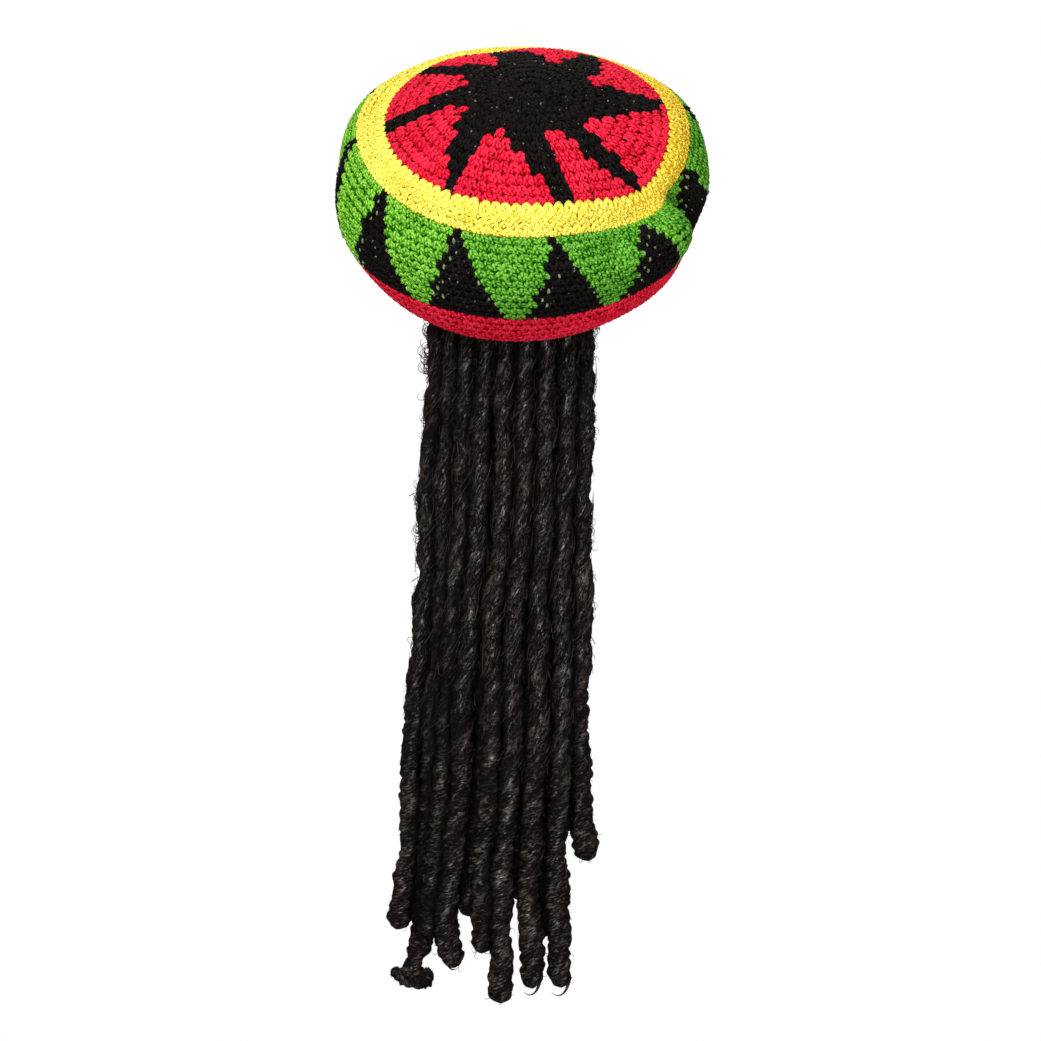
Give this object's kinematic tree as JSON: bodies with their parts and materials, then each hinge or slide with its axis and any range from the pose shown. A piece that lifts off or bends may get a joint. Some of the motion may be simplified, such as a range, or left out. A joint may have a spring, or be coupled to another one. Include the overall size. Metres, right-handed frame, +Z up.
{
  "type": "rasta tam",
  "caption": "Slouched crochet tam with a star crown, a yellow shoulder, a green side with black triangles and a fringe of long dreadlocks at the back.",
  "frame": {"origin": "centre of the head opening, where the tam sits on a head", "axes": "+Z up as worn, +Y the way the wearer faces, +X to the wearer's right; the dreadlocks hang at -Y and the tam leans back 29 degrees from +Z towards -Y"},
  "size_m": [0.2798, 0.2596, 0.7286],
  "materials": {
    "black_yarn": "crocheted acrylic yarn, black",
    "red_yarn": "crocheted acrylic yarn, crimson red",
    "yellow_yarn": "crocheted acrylic yarn, yellow",
    "green_yarn": "crocheted acrylic yarn, green",
    "hair": "synthetic hair twisted and wound into dreadlocks, brown-black"
  },
  "bodies": {
    "root": {"crown_star": "black_yarn", "crown_red_1": "red_yarn", "crown_red_2": "red_yarn", "crown_red_3": "red_yarn", "crown_red_4": "red_yarn", "crown_red_5": "red_yarn", "crown_red_6": "red_yarn", "crown_red_7": "red_yarn", "crown_red_8": "red_yarn", "yellow_round": "yellow_yarn", "green_side": "green_yarn", "triangle_01": "black_yarn", "triangle_02": "black_yarn", "triangle_03": "black_yarn", "triangle_04": "black_yarn", "triangle_05": "black_yarn", "triangle_06": "black_yarn", "triangle_07": "black_yarn", "triangle_08": "black_yarn", "triangle_09": "black_yarn", "triangle_10": "black_yarn", "triangle_11": "black_yarn", "red_underside": "red_yarn", "edge_round": "yellow_yarn", "dreadlock_fringe": "hair"}
  },
  "joints": []
}
